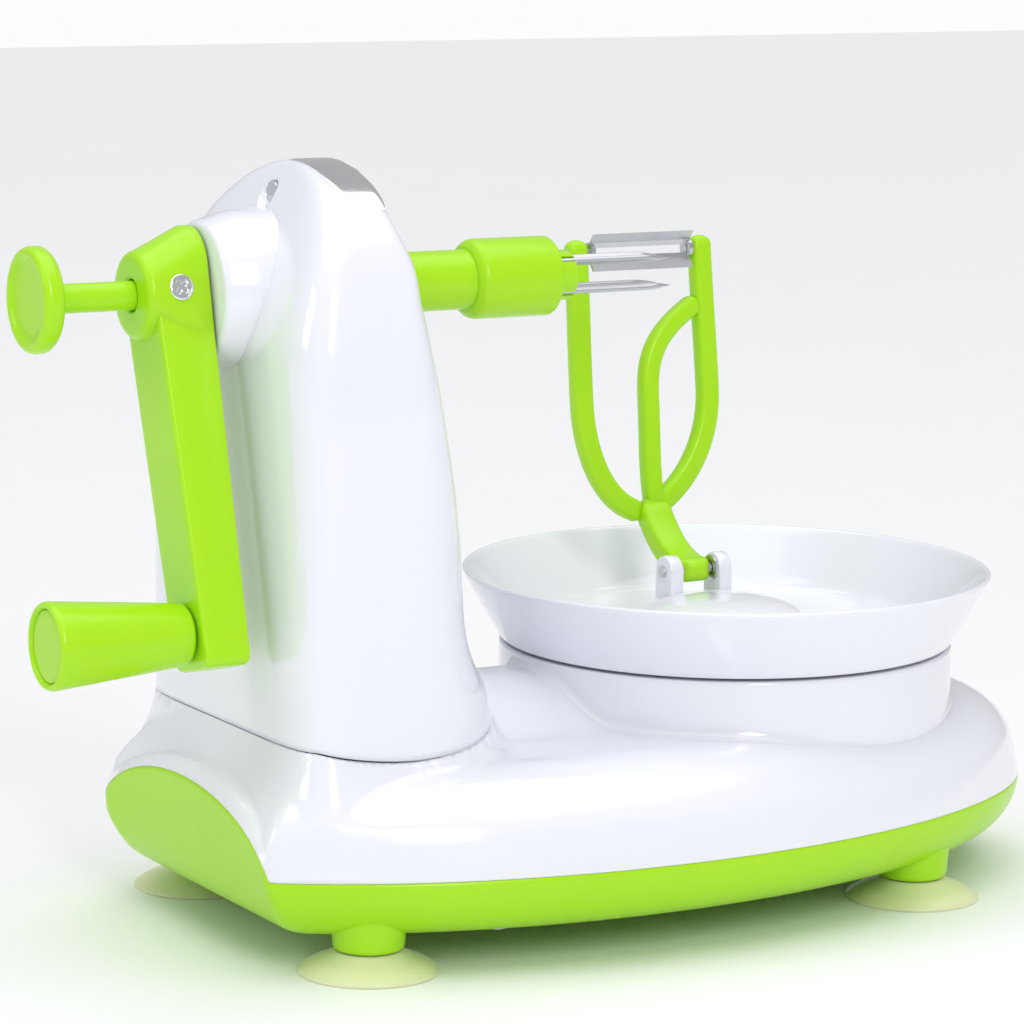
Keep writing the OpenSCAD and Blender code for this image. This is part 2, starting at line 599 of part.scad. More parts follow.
module peeler_arm() color(lime) difference() {
    union() {
        in_head() translate([0, 0, -head_t / 2]) linear_extrude(head_t) {
            for (b = [left_bar, right_bar]) polygon(band(b, 6));
            polygon(band(middle_bar, 5.4));
            translate([-2.5, 4]) circle(4.1);
        }
        translate([bowl_x - 4.5, 0, 0]) rotate([90, 0, 90]) linear_extrude(9) {
            translate([hinge_y, hinge_z]) circle(4);
            polygon(band(curve([hinge_y, hinge_z], [22, 78.6], [31, 82], [38.6, 91]), 6));
        }
    }
    rod_x(40, 80, 1.56, hinge_y, hinge_z);
    rod_x(bowl_x + 4.4, bowl_x + 7, 4.6, hinge_y, hinge_z);
    translate([bowl_x - 30, blade_y, blade_z]) rotate([0, 90, 0]) cylinder(h = 60, r = 1.24);
}

module blade_pins() color(steel) for (s = [-1, 1])
    rod_x(bowl_x + s * 18.5 - 4, bowl_x + s * 18.5 + 4, 1.2, blade_y, blade_z);

// Swivel blade: a curved steel strip with a slot, with an ear at each end
module blade() color(steel) difference() {
    union() {
        translate([bowl_x - 15.6, 0, 0]) rotate([90, 0, 90]) linear_extrude(31.2) polygon([
            [blade_y - 3, blade_z - 5], [blade_y - 1.2, blade_z - 2.5], [blade_y - 0.6, blade_z],
            [blade_y - 1.2, blade_z + 2.5], [blade_y - 3, blade_z + 5], [blade_y - 2.2, blade_z + 5],
            [blade_y - 0.3, blade_z + 2.6], [blade_y + 0.3, blade_z], [blade_y - 0.3, blade_z - 2.6],
            [blade_y - 2.2, blade_z - 5]]);
        for (s = [-1, 1]) rod_x(bowl_x + s * 15.4 - 0.6, bowl_x + s * 15.4 + 0.6, 2.6, blade_y, blade_z);
    }
    rod_x(bowl_x - 30, bowl_x + 30, 1.26, blade_y, blade_z);
    translate([bowl_x - 13.5, blade_y - 4, blade_z - 1.1]) cube([27, 8, 2.2]);
}

base_pan();
base_shell();
base_screws();
suction_cup(foot_spots[0]);  // suction_cup_front_crank
suction_cup(foot_spots[2]);  // suction_cup_front_bowl
suction_cup(foot_spots[1]);  // suction_cup_back_crank
suction_cup(foot_spots[3]);  // suction_cup_back_bowl
tower_shell();
tower_screws();
crest_strip();
crest_screw();
rear_bush();
front_bush();
spindle();
worm();
fork_prongs();
crank_arm();
crank_screw();
grip_pin();
crank_grip();
grip_cap();
push_knob();
push_rod();
eject_spring();
ejector_head();
gear_deck();
deck_screws();
top_bracket();
layshaft();
worm_wheel();
drive_pinion();
idler_pin();
idler_gear();
arm_gear();
arm_post();
post_bush();
peel_bowl();
arm_hub();
arm_pin();
arm_spring();
peeler_arm();
blade_pins();
blade();
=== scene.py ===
"""Finished surfaces of a hand-cranked apple peeler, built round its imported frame.

Sizes are in millimetres, as on a drawing, and Skin.piece turns them into metres. +X runs along
the spindle from the crank to the fork, +Y is the far side, +Z is up and the table is at zero.
"""

import logging
from dataclasses import dataclass, field
from enum import Enum

import bmesh
import bpy
import numpy as np
from mathutils import Matrix, Vector


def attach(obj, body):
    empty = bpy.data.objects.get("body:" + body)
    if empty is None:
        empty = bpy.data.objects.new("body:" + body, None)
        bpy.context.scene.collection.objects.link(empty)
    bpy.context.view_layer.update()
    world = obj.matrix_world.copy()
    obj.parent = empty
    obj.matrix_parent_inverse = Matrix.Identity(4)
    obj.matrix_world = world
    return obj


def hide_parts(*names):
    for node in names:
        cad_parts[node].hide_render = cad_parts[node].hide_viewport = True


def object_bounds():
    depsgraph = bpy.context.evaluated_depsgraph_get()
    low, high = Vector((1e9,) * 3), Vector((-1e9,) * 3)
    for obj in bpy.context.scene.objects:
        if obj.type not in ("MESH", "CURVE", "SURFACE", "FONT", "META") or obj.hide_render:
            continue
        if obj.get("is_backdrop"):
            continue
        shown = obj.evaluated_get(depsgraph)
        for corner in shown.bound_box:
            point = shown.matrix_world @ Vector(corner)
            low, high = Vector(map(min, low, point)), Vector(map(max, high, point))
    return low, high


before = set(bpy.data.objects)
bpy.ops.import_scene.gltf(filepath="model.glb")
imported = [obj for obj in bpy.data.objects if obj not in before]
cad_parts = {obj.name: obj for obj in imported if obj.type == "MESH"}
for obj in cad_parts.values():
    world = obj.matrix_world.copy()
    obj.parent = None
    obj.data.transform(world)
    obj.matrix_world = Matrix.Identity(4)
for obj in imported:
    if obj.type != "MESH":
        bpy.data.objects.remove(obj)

Array = np.ndarray
Colour = tuple[float, float, float]
Place = tuple[float, float, float]
Socket = bpy.types.NodeSocket
log = logging.getLogger("peeler")
MM = 0.001
# Points closer than this merge, and edges shorter than this go, in metres
MERGE = 2e-6
SLIVER = 1e-7
# Sizes that several sub-assemblies share
SPINDLE_Z = 162.0
BOWL_X = 59.0
WALL = 2.4
# Degrees round the spindle of the fork's prongs and of the quarters of the head between them
PRONG_TURNS = (45, 135, 225, 315)


# ---- Curves and surfaces ----


def smooth(t: Array) -> Array:
    """Smooth step from 0 to 1."""
    u = np.clip(t, 0, 1)
    return u * u * (3 - 2 * u)


def quarter(t: Array) -> Array:
    """Height of a quarter circle at t of its width, 0 to 1."""
    return np.sqrt(1 - (1 - np.clip(t, 0, 1)) ** 2)


def circle(count: int) -> Array:
    """Angles evenly spaced all round, from 0."""
    return np.linspace(0, 2 * np.pi, count, endpoint=False)


def squared(c: Array, power: float) -> Array:
    """A cosine or sine raised to a power with its sign kept; a power below 1 squares off a circle."""
    return np.sign(c) * np.abs(c) ** power


def capped(rows: Array) -> Array:
    """A run of closed sections, each end of which is drawn in to its middle."""
    ends = rows[[0, -1]].mean(1, keepdims=True) + 0 * rows[[0, -1]]
    return np.concatenate([ends[:1], rows, ends[1:]])


def soft_max(a: Array, b: Array, k: float) -> Array:
    """The larger of two heights, with the corner between them blended over about k."""
    return np.maximum(a, b) + k * np.log1p(np.exp(-np.abs(a - b) / k))


def flow(x: Array, xs: list[float], ys: list[float]) -> Array:
    """Smooth curve through given points: a cubic in each span, whose slopes come from its neighbours.

    Args:
        x: Where to read the curve.
        xs: Rising abscissas of the given points.
        ys: Their heights.

    Returns:
        The curve's height at each x, held level past both ends.
    """
    xs, ys = np.asarray(xs, float), np.asarray(ys, float)
    slope = np.gradient(ys, xs)
    x = np.clip(x, xs[0], xs[-1])
    i = np.clip(np.searchsorted(xs, x) - 1, 0, len(xs) - 2)
    h = xs[i + 1] - xs[i]
    t = (x - xs[i]) / h
    return (
        (1 + 2 * t) * (1 - t) ** 2 * ys[i] + t * (1 - t) ** 2 * h * slope[i]
        + t * t * (3 - 2 * t) * ys[i + 1] + t * t * (t - 1) * h * slope[i + 1]
    )


def rounded(corners: list[tuple[float, float, float]], steps: int = 6, closed: bool = True) -> Array:
    """Profile with arcs at its corners: a quadratic curve from one side to the next, tangent to both.

    Args:
        corners: Each (a, b, size of the rounding).
        steps: Points on each arc.
        closed: Whether the last corner joins the first.

    Returns:
        The profile's points, (n, 2).
    """
    p = np.array([c[:2] for c in corners], float)
    t = np.linspace(0, 1, steps)[:, None]
    out = []
    for i, (_, _, r) in enumerate(corners):
        if r <= 0 or (not closed and i in (0, len(corners) - 1)):
            out.append(p[i][None])
            continue
        back, ahead = p[i - 1] - p[i], p[(i + 1) % len(p)] - p[i]
        lb, la = np.linalg.norm(back), np.linalg.norm(ahead)
        start, end = p[i] + back / lb * min(r, lb * 0.49), p[i] + ahead / la * min(r, la * 0.49)
        out.append((1 - t) ** 2 * start + 2 * t * (1 - t) * p[i] + t * t * end)
    return np.concatenate(out)


def turned_x(profile: Array, y: float, z: float, count: int = 96) -> Array:
    """Surface of revolution about a line along X: each point of a profile is carried round a circle.

    Args:
        profile: Each (x, radius), (n, 2).
        y: Where the axis stands across.
        z: How high the axis stands.
        count: Points round the circle.

    Returns:
        Grid of points, rows along the profile.
    """
    a = circle(count)
    x, r = profile[:, :1], profile[:, 1:]
    return np.stack(np.broadcast_arrays(x, y + r * np.sin(a), z + r * np.cos(a)), -1)


def turned_z(profile: Array, x: float, y: float, count: int = 128) -> Array:
    """Surface of revolution about a line along Z: each point of a profile is carried round a circle.

    Args:
        profile: Each (radius, z), (n, 2).
        x: Where the axis stands along the spindle.
        y: Where the axis stands across.
        count: Points round the circle.

    Returns:
        Grid of points, rows along the profile.
    """
    a = circle(count)
    r, z = profile[:, :1], profile[:, 1:]
    return np.stack(np.broadcast_arrays(x + r * np.cos(a), y + r * np.sin(a), z), -1)


def bezier(points: list[tuple[float, float]], count: int = 24) -> Array:
    """Cubic curves end to end, each drawn by two ends and two handles.

    Args:
        points: Four for the first curve, and three more for each that follows.
        count: Points on each curve.

    Returns:
        The points of the whole path, (n, 2).
    """
    p = np.array(points, float)
    t = np.linspace(0, 1, count)[:, None]
    u = 1 - t
    spans = [
        u**3 * p[i] + 3 * t * u * u * p[i + 1] + 3 * t * t * u * p[i + 2] + t**3 * p[i + 3]
        for i in range(0, len(p) - 1, 3)
    ]
    return np.concatenate([spans[0]] + [s[1:] for s in spans[1:]])


def swept(path: Array, flat: Array, width: float, thick: float, power: float = 3.5,
          count: int = 32) -> Array:
    """Bar along a path that lies in a plane: a squared-off oval carried along it, with rounded ends.

    Args:
        path: Centre line, (n, 3).
        flat: Unit normal of the plane that the path lies in.
        width: Size across the path, in the plane.
        thick: Size along the plane's normal.
        power: How square the section is; 2 is an ellipse.
        count: Points round the section.

    Returns:
        Grid of points, rows along the path.
    """
    along = np.gradient(path, axis=0)
    along /= np.linalg.norm(along, axis=1, keepdims=True)
    across = np.cross(along, flat)
    a = circle(count)
    u = width / 2 * squared(np.cos(a), 2 / power)
    v = thick / 2 * squared(np.sin(a), 2 / power)
    ring = across[:, None] * u[:, None] + flat * v[:, None]
    turn = np.linspace(0, np.pi / 2, 5)
    bulge = np.sin(turn)
    reach = (1 - np.cos(turn)) * min(width, thick) / 2
    start = path[0] + along[0] * reach[:, None]
    end = path[-1] - along[-1] * reach[::-1, None]
    body = path[1:-1, None] + ring[1:-1]
    first = start[:, None] + ring[:1] * bulge[:, None, None]
    last = end[:, None] + ring[-1:] * bulge[::-1, None, None]
    keep = (np.linalg.norm(path[1:-1] - path[0], axis=1) > reach[-1]) & (
        np.linalg.norm(path[1:-1] - path[-1], axis=1) > reach[-1])
    return np.concatenate([first, body[keep], last])


@dataclass
class Skin:
    """Gathers grids of points into the mesh of one piece."""

    points: list[Array] = field(default_factory=list)
    faces: list[Array] = field(default_factory=list)

    def grid(self, p: Array, ring: bool = True, loop: bool = False) -> "Skin":
        """Adds a grid of points as quads that face out from its middle.

        Args:
            p: Points in millimetres, (rows, columns, 3).
            ring: Whether each row closes on itself.
            loop: Whether the last row joins the first.

        Returns:
            This skin.
        """
        rows, cols = p.shape[:2]
        index = np.arange(rows * cols).reshape(rows, cols)
        down, right = np.roll(index, -1, 0), np.roll(index, -1, 1)
        both = np.roll(down, -1, 1)
        part = np.s_[: rows if loop else rows - 1, : cols if ring else cols - 1]
        quads = np.stack([index[part], down[part], both[part], right[part]], -1).reshape(-1, 4)
        flat = p.reshape(-1, 3).astype(float)
        a, b, c, d = (flat[quads[:, k]] - flat.mean(0) for k in range(4))
        volume = (a * np.cross(b, c)).sum() + (a * np.cross(c, d)).sum()
        start = sum(len(q) for q in self.points)
        self.points.append(flat)
        self.faces.append((quads if volume > 0 else quads[:, ::-1]) + start)
        return self

    def mesh(self, name: str) -> bpy.types.Mesh:
        """Makes the mesh in metres, with its seams and poles merged.

        Args:
            name: Name of the mesh.

        Returns:
            The new mesh.
        """
        made = bpy.data.meshes.new(name)
        points = (np.concatenate(self.points) * MM).tolist()
        made.from_pydata(points, [], np.concatenate(self.faces).tolist())
        work = bmesh.new()
        work.from_mesh(made)
        bmesh.ops.remove_doubles(work, verts=work.verts, dist=MERGE)
        bmesh.ops.dissolve_degenerate(work, edges=work.edges, dist=SLIVER)
        work.to_mesh(made)
        work.free()
        return made

    def piece(self, name: str, finish: "Finish", body: str, nodes: tuple[str, ...] = (), sharp: float = 35,
              wall: float = 0) -> None:
        """Makes the piece, dressed, riding on its body and standing for its frame nodes.

        Args:
            name: Name of the piece.
            finish: Its finish.
            body: The body it rides on.
            nodes: Frame nodes that it stands for.
            sharp: Angle in degrees past which an edge is crisp.
            wall: Thickness of a moulded wall, inwards from the surface.
        """
        made = self.mesh(name)
        made.polygons.foreach_set("use_smooth", np.ones(len(made.polygons), bool))
        made.set_sharp_from_angle(angle=np.radians(sharp))
        made.materials.append(finish.material())
        thing = bpy.data.objects.new(name, made)
        bpy.context.scene.collection.objects.link(thing)
        if wall:
            solid = thing.modifiers.new("wall", "SOLIDIFY")
            solid.thickness, solid.offset = wall * MM, -1
        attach(thing, body)
        if nodes:
            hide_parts(*nodes)
        log.info("%s: %d faces, on %s", name, len(made.polygons), body)


def dress(finish: "Finish", *nodes: str) -> None:
    """Gives frame nodes that keep their shape a finish.

    Args:
        finish: The finish.
        nodes: Names of the frame nodes.
    """
    for name in nodes:
        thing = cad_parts[name]
        for place in thing.material_slots:
            place.material = finish.material()
        log.info("%s: dressed in %s", name, finish.name)


# ---- Finishes ----


class Surface(Enum):
    """Kinds of surface, each with its own shader settings."""

    PLASTIC = "plastic"
    SILICONE = "silicone"
    METAL = "metal"


@dataclass(frozen=True)
class Finish:
    """A finish as noise on object coordinates: colour drifts, gloss varies, and a fine grain stands up."""

    name: str
    slot: str
    kind: Surface
    light: Colour
    dark: Colour
    rough: tuple[float, float]
    patch: float = 14.0
    grain: float = 900.0
    relief: float = 0.00002
    stretch: tuple[float, float, float] = (1.0, 1.0, 1.0)
    coat: float = 0.0
    shine: float = 0.5

    def material(self) -> bpy.types.Material:
        """Makes the node material the first time it is asked for.

        Returns:
            The material.
        """
        if self.name in bpy.data.materials:
            return bpy.data.materials[self.name]
        made = bpy.data.materials.new(self.name)
        made.use_nodes = True
        tree = made.node_tree
        nodes, links = tree.nodes, tree.links
        shader = nodes["Principled BSDF"]
        place = nodes.new("ShaderNodeTexCoord").outputs["Object"]
        brushed = self._mapping(tree, place)
        colour = nodes.new("ShaderNodeMix")
        colour.data_type = "RGBA"
        colour.inputs["A"].default_value = (*self.dark, 1)
        colour.inputs["B"].default_value = (*self.light, 1)
        links.new(self._noise(tree, place, self.patch, 3), colour.inputs["Factor"])
        links.new(colour.outputs["Result"], shader.inputs["Base Color"])
        gloss = nodes.new("ShaderNodeMapRange")
        gloss.inputs["To Min"].default_value, gloss.inputs["To Max"].default_value = self.rough
        links.new(self._noise(tree, brushed, self.patch * 9, 5), gloss.inputs["Value"])
        links.new(gloss.outputs["Result"], shader.inputs["Roughness"])
        bump = nodes.new("ShaderNodeBump")
        bump.inputs["Distance"].default_value = self.relief
        bump.inputs["Strength"].default_value = 0.6
        links.new(self._noise(tree, brushed, self.grain, 4), bump.inputs["Height"])
        links.new(bump.outputs["Normal"], shader.inputs["Normal"])
        self._settings(shader)
        return made

    def _mapping(self, tree: bpy.types.NodeTree, place: Socket) -> Socket:
        """Stretches the coordinates, so that a brushed grain runs in lines.

        Args:
            tree: Node tree of the material.
            place: Coordinates to stretch.

        Returns:
            The stretched coordinates.
        """
        mapping = tree.nodes.new("ShaderNodeMapping")
        mapping.inputs["Scale"].default_value = self.stretch
        tree.links.new(place, mapping.inputs["Vector"])
        return mapping.outputs["Vector"]

    @staticmethod
    def _noise(tree: bpy.types.NodeTree, place: Socket, scale: float, detail: float) -> Socket:
        """Adds a noise over the surface.

        Args:
            tree: Node tree of the material.
            place: Coordinates that it reads.
            scale: Its waves per metre.
            detail: How many finer waves it adds.

        Returns:
            The noise's value.
        """
        noise = tree.nodes.new("ShaderNodeTexNoise")
        noise.inputs["Scale"].default_value = scale
        noise.inputs["Detail"].default_value = detail
        tree.links.new(place, noise.inputs["Vector"])
        return noise.outputs["Fac"]

    def _settings(self, shader: bpy.types.Node) -> None:
        """Sets what is the same all over the surface.

        Args:
            shader: The material's shader.
        """
        socket = shader.inputs
        if self.kind is Surface.METAL:
            socket["Metallic"].default_value = 1.0
            return
        socket["Coat Weight"].default_value = self.coat
        socket["Specular IOR Level"].default_value = self.shine
        socket["Coat Roughness"].default_value = 0.06
        socket["IOR"].default_value = 1.5
        socket["Subsurface Weight"].default_value = 0.12
        socket["Subsurface Radius"].default_value = (0.003, 0.003, 0.003)
        socket["Subsurface Scale"].default_value = 1.0
        if self.kind is Surface.SILICONE:
            socket["IOR"].default_value = 1.41
            socket["Subsurface Weight"].default_value = 0.6


LIME = Finish("lime_gloss", "lime_plastic", Surface.PLASTIC, (0.42, 0.80, 0.012), (0.38, 0.74, 0.008),
              (0.20, 0.30), grain=1300, shine=0.36)
PEARL = Finish("pearl_gloss", "white_plastic", Surface.PLASTIC, (0.86, 0.87, 0.93), (0.82, 0.83, 0.90),
               (0.10, 0.18), grain=420, relief=0.000015, coat=0.6)
OLIVE = Finish("olive_silicone", "olive_cup", Surface.SILICONE, (0.80, 0.83, 0.52), (0.70, 0.74, 0.42),
               (0.24, 0.36), patch=60, grain=150, relief=0.00001)
CHROME = Finish("bright_chrome", "chrome", Surface.METAL, (0.86, 0.87, 0.88), (0.74, 0.75, 0.77),
                (0.06, 0.16), patch=60, relief=0.000008)
STEEL = Finish("drawn_steel", "steel", Surface.METAL, (0.66, 0.67, 0.69), (0.52, 0.53, 0.56),
               (0.22, 0.38), patch=90, grain=700, relief=0.000015, stretch=(0.06, 1.0, 1.0))
NYLON = Finish("natural_nylon", "nylon", Surface.PLASTIC, (0.80, 0.77, 0.67), (0.72, 0.69, 0.58),
               (0.38, 0.52), patch=40, grain=1600, relief=0.00003)
FLOOR = Finish("pale_floor", "white_plastic", Surface.PLASTIC, (0.93, 0.93, 0.94), (0.91, 0.91, 0.92),
               (0.5, 0.6), patch=3, grain=300)


# ---- Base ----


@dataclass
class BaseForm:
    """The shape that the pan, the white shell and the tower's foot share."""

    middle: float = 8.0
    half_length: float = 137.0
    half_width: float = 77.6
    cut: float = -100.0
    cut_band: float = 7.0
    parting: float = 25.0
    parting_band: float = 3.0
    arch_height: float = 17.0
    arch_half: float = 48.0
    shoulder_height: float = 23.5
    shoulder_width: float = 26.0
    shoulder_power: float = 2.2
    lip_height: float = 3.5
    lip_width: float = 4.0
    lip_reach: float = 40.0
    foot_x: float = -60.0
    foot_front: float = -24.5
    foot_back: float = -89.0
    foot_half: float = 49.0
    back_power: float = 7.0
    front_power: float = 2.5
    seam_low: float = 50.0
    seam_back: float = 4.5
    seam_ahead: float = 9.0
    skirt_spread: float = 8.0
    ridge_height: float = 35.5
    ridge_half: float = 40.0
    ridge_start: float = -62.0
    ridge_end: float = BOWL_X
    blend: float = 2.2

    def outline(self, t: Array, inset: Array) -> tuple[Array, Array]:
        """Plan of the base: an ellipse moved in by inset, whose crank end is cut straight."""
        x = self.middle + (self.half_length - inset) * np.cos(t)
        return soft_max(x, self.cut + inset, 1.2), (self.half_width - inset) * np.sin(t)

    def near_end(self, x: Array, inset: Array) -> Array:
        """1 at the cut end, falling to 0 over a narrow band."""
        return 1 - smooth((x - self.cut - inset) / self.cut_band)

    def arch(self, y: Array) -> Array:
        """Height of the arch in the end wall: a flattened circle across the width."""
        return self.arch_height * np.maximum(0, 1 - (y / self.arch_half) ** 2) ** 0.6

    def rim(self, x: Array, y: Array, inset: Array) -> Array:
        """Height of the seam between pan and shell."""
        return self.parting + self.arch(y) * self.near_end(x, inset)

    def foot_gap(self, x: Array, y: Array) -> Array:
        """Distance from the tower's foot, a squared-off oval that is boxy at the back and round in front.

        Args:
            x: Points along the spindle.
            y: Points across.

        Returns:
            How far each point lies out of the foot, along a line from the foot's middle.
        """
        d = x - self.foot_x
        power = np.where(d < 0, self.back_power, self.front_power)
        reach = np.where(d < 0, self.foot_x - self.foot_back, self.foot_front - self.foot_x)
        q = ((np.abs(d) / reach) ** power + (np.abs(y) / self.foot_half) ** power) ** (1 / power)
        return np.hypot(d, y) * np.maximum(0, 1 - 1 / np.maximum(1, q))

    def seam(self, x: Array) -> Array:
        """Height at which the tower stands: level along its side, rising as a power to its back and front.

        Args:
            x: Points along the spindle.

        Returns:
            The height at each.
        """
        back = np.clip((self.foot_x - x) / 25, 0, 1)
        ahead = np.maximum(0, (x - self.foot_x) / (self.foot_front - self.foot_x))
        return self.seam_low + self.seam_back * back**1.5 + self.seam_ahead * ahead**2

    def top(self, x: Array, y: Array, inset: Array) -> Array:
        """Height of the white shell: the highest of four surfaces, with the corners between them blended.

        They are a rounded shoulder, a lip over the end wall, a skirt that falls away from the tower and
        a ridge along the middle. Over the last 3 mm the height comes down to the seam as a quarter circle.

        Args:
            x: Points along the spindle.
            y: Points across.
            inset: How far each lies in from the outline.

        Returns:
            The height at each.
        """
        shoulder = 1 - (1 - np.clip(inset / self.shoulder_width, 0, 1)) ** self.shoulder_power
        side = self.parting + self.shoulder_height * shoulder ** (1 / self.shoulder_power)
        lip = self.arch(y) + self.lip_height * quarter(inset / self.lip_width)
        lip = self.parting + lip * (1 - smooth((x - self.cut) / self.lip_reach))
        stand = self.seam(np.minimum(x, self.foot_front)) - self.parting
        skirt = self.parting + stand * np.exp(-self.foot_gap(x, y) / self.skirt_spread)
        rise = smooth((x - self.ridge_start) / 30) * (1 - smooth((x - self.ridge_end) / 40))
        ridge = self.parting + self.ridge_height * rise * np.exp(-(np.abs(y) / self.ridge_half) ** 2.4)
        high = soft_max(soft_max(np.maximum(side, lip), skirt, self.blend), ridge, self.blend)
        low = self.rim(x, y, inset)
        return low + (high - low) * quarter(inset / self.parting_band)

    def inset_of(self, x: Array, y: Array) -> Array:
        """How far points lie in from the outline, found by halving the span that holds the answer.

        Args:
            x: Points along the spindle.
            y: Points across.

        Returns:
            The inset of each.
        """
        low, high = np.zeros(np.shape(x)), np.full(np.shape(x), self.half_width - 0.01)
        for _ in range(40):
            mid = (low + high) / 2
            across = (x - self.middle) / (self.half_length - mid)
            inside = across**2 + (y / (self.half_width - mid)) ** 2 < 1
            low, high = np.where(inside, mid, low), np.where(inside, high, mid)
        return low


@dataclass
class Base:
    """The green pan, the white shell with its collar, and the feet."""

    form: BaseForm
    bowl_x: float = BOWL_X
    collar_radius: float = 60.0
    collar_top: float = 63.0
    collar_bore: float = 11.5
    flare: float = 3.0
    pan_floor: float = 9.0
    pan_turn: float = 17.0
    wall: float = WALL
    foot_dx: float = 80.0
    foot_dy: float = 48.0
    foot_radius: float = 9.3
    stub_low: float = 5.7
    stub_top: float = 14.8
    neck_hole: float = 3.6
    around: int = 320

    def feet(self) -> list[tuple[str, float, float]]:
        """Name, x and y of each foot."""
        return [
            (f"{side}_{end}", self.form.middle + sx * self.foot_dx, sy * self.foot_dy)
            for sx, end in ((-1, "crank"), (1, "bowl")) for sy, side in ((-1, "front"), (1, "back"))
        ]

    def pan(self) -> None:
        """The pan: its side is a quarter ellipse from seam to flat floor, and its end follows the arch."""
        t = circle(self.around)
        u = np.linspace(0, np.pi / 2, 26)[:, None]
        height = self.form.parting - 0.15 - self.pan_floor
        floor = np.linspace(20, self.form.half_width, 18)[:, None]
        turn = np.concatenate([self.pan_turn * (1 - np.cos(u)), floor])
        share = np.concatenate([1 - np.sin(u), 0 * floor])
        x, y = self.form.outline(t, turn)
        lift = self.form.arch(y) * self.form.near_end(x, turn) * smooth((share - 0.12) / 0.88)
        skin = Skin().grid(np.stack([x, y, self.pan_floor + height * share + lift], -1))
        skin.piece("pan", LIME, "base", ("base_pan",), wall=self.wall)

    def pan_feet(self) -> None:
        """The stubs under the pan that hold the cups, each turned with a soft lower edge."""
        profile = rounded([
            (self.neck_hole, self.stub_low, 0.3), (self.foot_radius - 0.5, self.stub_low, 1.4),
            (self.foot_radius + 0.2, self.stub_top, 0.3), (self.neck_hole, self.stub_top, 0.3)])
        skin = Skin()
        for _, x, y in self.feet():
            skin.grid(turned_z(profile, x, y, 72), loop=True)
        skin.piece("pan_feet", LIME, "base")

    def shell(self) -> None:
        """The white shell: the outline moved in step by step, at the height of the form's top."""
        t = circle(self.around)
        inset = self.form.half_width * np.linspace(0, 1, 130)[:, None] ** 1.7
        x, y = self.form.outline(t, inset)
        Skin().grid(np.stack([x, y, self.form.top(x, y, inset)], -1)).piece(
            "shell", PEARL, "base", ("base_shell",), wall=self.wall)

    def collar(self) -> None:
        """The round collar under the bowl: a wall whose foot flares out and lands on the shell all round."""
        a = circle(256)
        turn = np.linspace(0, np.pi / 2, 10)[:, None]
        reach = self.collar_radius + self.flare
        x, y = self.bowl_x + reach * np.cos(a), reach * np.sin(a)
        ground = self.form.top(x, y, self.form.inset_of(x, y)) - 0.05
        radius = reach - self.flare * np.sin(turn) + 0 * a
        rise = np.minimum(self.flare, self.collar_top - 1 - ground)
        z = ground + rise * (1 - np.cos(turn))
        lip = rounded([
            (self.collar_radius, 56, 0), (self.collar_radius, self.collar_top, 0.9),
            (self.collar_bore, self.collar_top, 0.4), (self.collar_bore, 50, 0)], closed=False)[1:]
        low = np.minimum(z[-1], self.collar_top - 1)
        rows = np.stack([
            np.concatenate([radius, lip[:, :1] + 0 * a]),
            np.concatenate([np.minimum(z, low), lip[:, 1:] + 0 * a])], -1)
        radius = rows[..., 0]
        points = np.stack([self.bowl_x + radius * np.cos(a), radius * np.sin(a), rows[..., 1]], -1)
        Skin().grid(points).piece("collar", PEARL, "base")

    def cups(self) -> None:
        """The suction cups: a flared bell with a thin soft rim, hollow underneath, on a neck."""
        profile = rounded([
            (0, 2.6, 0), (5, 2.4, 1.5), (10, 1.6, 2), (15.2, 0, 0.6), (17.5, 0, 0.3), (17.5, 0.7, 0.35),
            (14.5, 2.6, 2), (10.5, 4.1, 1.5), (8.2, 5.5, 0.7), (3.5, 5.5, 0.2), (3.5, 12.3, 0.1),
            (5.4, 12.3, 0.3), (4.6, 14, 0.4), (0, 14, 0)], closed=False)
        for name, x, y in self.feet():
            node = f"suction_cup_{name}"
            Skin().grid(turned_z(profile, x, y, 96)).piece(f"cup_{name}", OLIVE, "base", (node,))

    def build(self) -> None:
        """Builds the whole base."""
        self.pan()
        self.pan_feet()
        self.shell()
        self.collar()
        self.cups()
        dress(STEEL, "base_screws")


# ---- Tower ----


